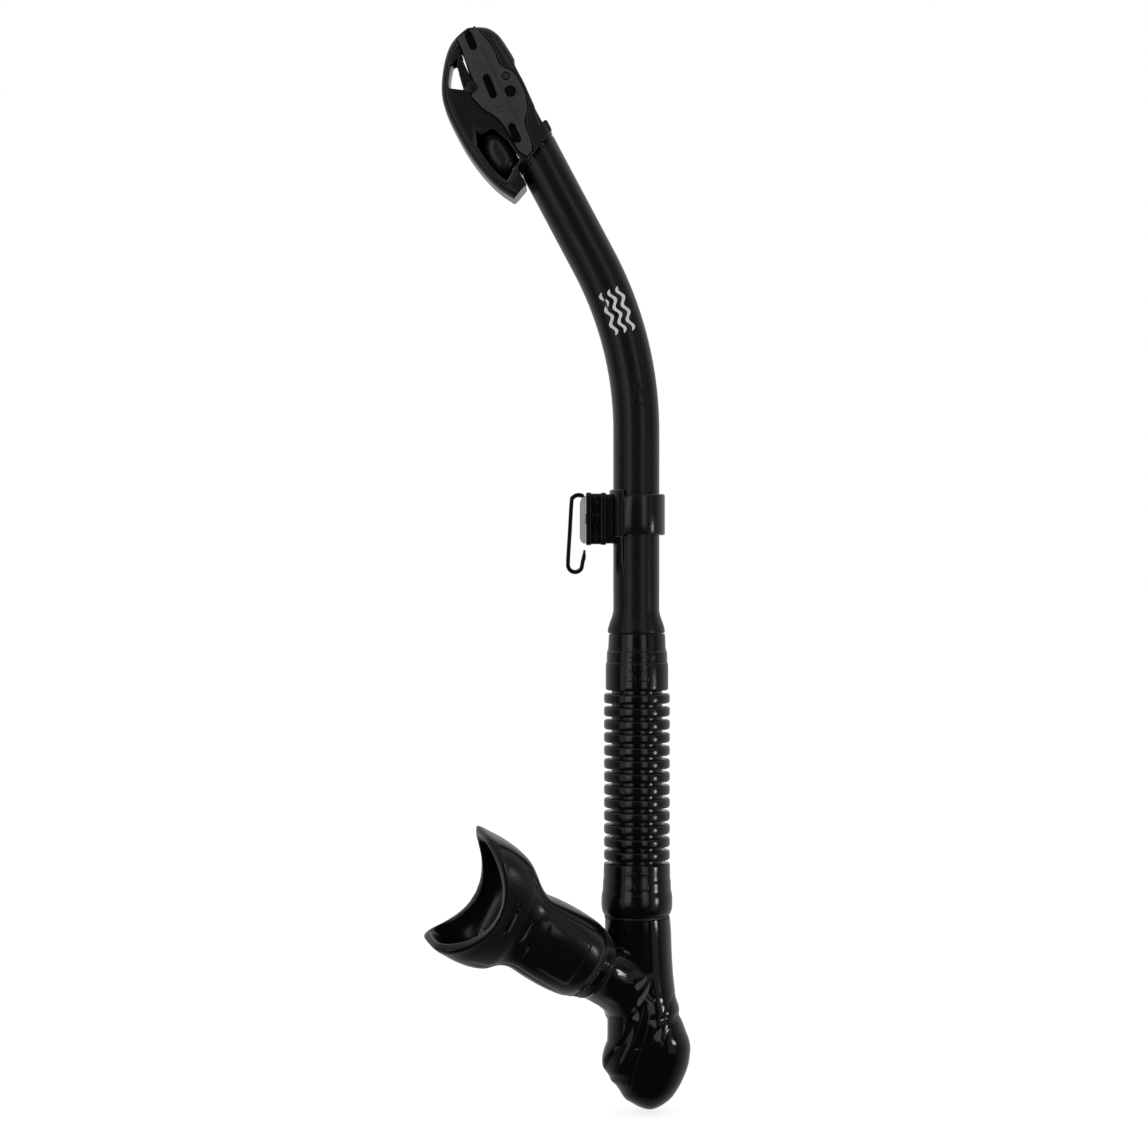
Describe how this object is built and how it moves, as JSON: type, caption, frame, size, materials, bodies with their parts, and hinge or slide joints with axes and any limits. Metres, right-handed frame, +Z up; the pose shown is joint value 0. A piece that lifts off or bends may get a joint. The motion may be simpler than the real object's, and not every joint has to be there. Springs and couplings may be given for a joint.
{
  "type": "dry snorkel",
  "caption": "Dry snorkel: float-valve head, bent oval tube, sliding strap keeper, corrugated hose, purge chamber and swivelling mouthpiece.",
  "frame": {"origin": "middle of the strap hook's outer flat face, where the mask's strap bears, with the hook at rest", "axes": "+Z up along the straight hose towards the float-valve head, -X towards the mouthpiece and the strap hook, +Y to the wearer's far side"},
  "size_m": [0.1119, 0.0658, 0.4638],
  "materials": {
    "gloss_black_plastic": "gloss",
    "satin_black_plastic": "satin",
    "matte_charcoal_plastic": "matte",
    "black_silicone": "glossy moulded silicone",
    "grey_plastic": "satin",
    "stainless_steel": "brushed"
  },
  "bodies": {
    "barrel": {"barrel_tube": "satin_black_plastic", "head_shell": "satin_black_plastic", "head_gasket": "black_silicone", "float_guard": "gloss_black_plastic", "side_plate_near": "matte_charcoal_plastic", "side_plate_far": "matte_charcoal_plastic", "plate_pin_near": "gloss_black_plastic", "plate_pin_far": "gloss_black_plastic", "flap_hinge_pin": "stainless_steel", "float_pivot_pin": "stainless_steel", "hose_cuff_upper": "black_silicone"},
    "float": {"float": "satin_black_plastic", "float_lever": "gloss_black_plastic"},
    "flap": {"flap_carrier": "gloss_black_plastic", "seal_flap": "black_silicone"},
    "keeper": {"keeper_band": "gloss_black_plastic", "keeper_rivet": "stainless_steel", "keeper_washer": "stainless_steel"},
    "hook": {"strap_hook": "grey_plastic"},
    "hose_link_01": {"hose_ring_01": "black_silicone"},
    "hose_link_02": {"hose_ring_02": "black_silicone"},
    "hose_link_03": {"hose_ring_03": "black_silicone"},
    "hose_link_04": {"hose_ring_04": "black_silicone"},
    "hose_link_05": {"hose_ring_05": "black_silicone"},
    "hose_link_06": {"hose_ring_06": "black_silicone"},
    "hose_link_07": {"hose_ring_07": "black_silicone"},
    "hose_link_08": {"hose_ring_08": "black_silicone"},
    "hose_link_09": {"hose_ring_09": "black_silicone"},
    "hose_link_10": {"hose_ring_10": "black_silicone"},
    "hose_link_11": {"hose_ring_11": "black_silicone"},
    "hose_link_12": {"hose_ring_12": "black_silicone"},
    "hose_link_13": {"hose_ring_13": "black_silicone"},
    "lower_unit": {"hose_cuff_lower": "black_silicone", "chamber_ring": "satin_black_plastic", "purge_chamber": "gloss_black_plastic", "purge_valve_seat": "satin_black_plastic", "purge_cover": "gloss_black_plastic", "port_o_ring": "black_silicone"},
    "purge_flap": {"purge_valve": "black_silicone"},
    "mouthpiece": {"mouthpiece_swivel": "gloss_black_plastic", "swivel_ring": "satin_black_plastic", "mouthpiece": "black_silicone"}
  },
  "joints": [
    {"name": "float_pivot", "type": "hinge", "parent": "barrel", "child": "float", "pos_m": [-0.04555, 0, 0.19033], "axis": [0, -1, 0], "range_deg": [0, 8]},
    {"name": "flap_pivot", "type": "hinge", "parent": "barrel", "child": "flap", "pos_m": [-0.0314, 0, 0.19503], "axis": [0, -1, 0], "range_deg": [0, 14.4]},
    {"name": "keeper_slide", "type": "slide", "parent": "barrel", "child": "keeper", "axis": [0, 0, 1], "range_m": [-0.026, 0.024]},
    {"name": "strap_hook_swivel", "type": "hinge", "parent": "keeper", "child": "hook", "pos_m": [0.0012, 0, 0.0072], "axis": [1, 0, 0], "range_deg": [-90, 90]},
    {"name": "hose_bend_01", "type": "hinge", "parent": "barrel", "child": "hose_link_01", "pos_m": [0.0246, 0, -0.06705], "axis": [0, 1, 0], "range_deg": [-5, 5], "stiffness_Nm_per_rad": 1.5},
    {"name": "hose_bend_02", "type": "hinge", "parent": "hose_link_01", "child": "hose_link_02", "pos_m": [0.0246, 0, -0.07266], "axis": [1, 0, 0], "range_deg": [-5, 5], "stiffness_Nm_per_rad": 1.5},
    {"name": "hose_bend_03", "type": "hinge", "parent": "hose_link_02", "child": "hose_link_03", "pos_m": [0.0246, 0, -0.07827], "axis": [0, 1, 0], "range_deg": [-5, 5], "stiffness_Nm_per_rad": 1.5},
    {"name": "hose_bend_04", "type": "hinge", "parent": "hose_link_03", "child": "hose_link_04", "pos_m": [0.0246, 0, -0.08388], "axis": [1, 0, 0], "range_deg": [-5, 5], "stiffness_Nm_per_rad": 1.5},
    {"name": "hose_bend_05", "type": "hinge", "parent": "hose_link_04", "child": "hose_link_05", "pos_m": [0.0246, 0, -0.08948], "axis": [0, 1, 0], "range_deg": [-5, 5], "stiffness_Nm_per_rad": 1.5},
    {"name": "hose_bend_06", "type": "hinge", "parent": "hose_link_05", "child": "hose_link_06", "pos_m": [0.0246, 0, -0.09509], "axis": [1, 0, 0], "range_deg": [-5, 5], "stiffness_Nm_per_rad": 1.5},
    {"name": "hose_bend_07", "type": "hinge", "parent": "hose_link_06", "child": "hose_link_07", "pos_m": [0.0246, 0, -0.1007], "axis": [0, 1, 0], "range_deg": [-5, 5], "stiffness_Nm_per_rad": 1.5},
    {"name": "hose_bend_08", "type": "hinge", "parent": "hose_link_07", "child": "hose_link_08", "pos_m": [0.0246, 0, -0.1063], "axis": [1, 0, 0], "range_deg": [-5, 5], "stiffness_Nm_per_rad": 1.5},
    {"name": "hose_bend_09", "type": "hinge", "parent": "hose_link_08", "child": "hose_link_09", "pos_m": [0.0246, 0, -0.11191], "axis": [0, 1, 0], "range_deg": [-5, 5], "stiffness_Nm_per_rad": 1.5},
    {"name": "hose_bend_10", "type": "hinge", "parent": "hose_link_09", "child": "hose_link_10", "pos_m": [0.0246, 0, -0.11752], "axis": [1, 0, 0], "range_deg": [-5, 5], "stiffness_Nm_per_rad": 1.5},
    {"name": "hose_bend_11", "type": "hinge", "parent": "hose_link_10", "child": "hose_link_11", "pos_m": [0.0246, 0, -0.12312], "axis": [0, 1, 0], "range_deg": [-5, 5], "stiffness_Nm_per_rad": 1.5},
    {"name": "hose_bend_12", "type": "hinge", "parent": "hose_link_11", "child": "hose_link_12", "pos_m": [0.0246, 0, -0.12873], "axis": [1, 0, 0], "range_deg": [-5, 5], "stiffness_Nm_per_rad": 1.5},
    {"name": "hose_bend_13", "type": "hinge", "parent": "hose_link_12", "child": "hose_link_13", "pos_m": [0.0246, 0, -0.13434], "axis": [0, 1, 0], "range_deg": [-5, 5], "stiffness_Nm_per_rad": 1.5},
    {"name": "hose_bend_14", "type": "hinge", "parent": "hose_link_13", "child": "lower_unit", "pos_m": [0.0246, 0, -0.13995], "axis": [1, 0, 0], "range_deg": [-5, 5], "stiffness_Nm_per_rad": 1.5},
    {"name": "purge_valve_lift", "type": "slide", "parent": "lower_unit", "child": "purge_flap", "axis": [0, 0, -1], "range_m": [0, 0.0015]},
    {"name": "mouthpiece_turn", "type": "hinge", "parent": "lower_unit", "child": "mouthpiece", "pos_m": [0.0246, 0, -0.1955], "axis": [-0.7747, -0.4067, 0.4841], "continuous": true}
  ],
  "couplings": [
    {"joint": "flap_pivot", "follows": "float_pivot", "ratio": 1.8},
    {"joint": "hose_bend_03", "follows": "hose_bend_01", "ratio": 1},
    {"joint": "hose_bend_04", "follows": "hose_bend_02", "ratio": 1},
    {"joint": "hose_bend_05", "follows": "hose_bend_01", "ratio": 1},
    {"joint": "hose_bend_06", "follows": "hose_bend_02", "ratio": 1},
    {"joint": "hose_bend_07", "follows": "hose_bend_01", "ratio": 1},
    {"joint": "hose_bend_08", "follows": "hose_bend_02", "ratio": 1},
    {"joint": "hose_bend_09", "follows": "hose_bend_01", "ratio": 1},
    {"joint": "hose_bend_10", "follows": "hose_bend_02", "ratio": 1},
    {"joint": "hose_bend_11", "follows": "hose_bend_01", "ratio": 1},
    {"joint": "hose_bend_12", "follows": "hose_bend_02", "ratio": 1},
    {"joint": "hose_bend_13", "follows": "hose_bend_01", "ratio": 1},
    {"joint": "hose_bend_14", "follows": "hose_bend_02", "ratio": 1}
  ]
}
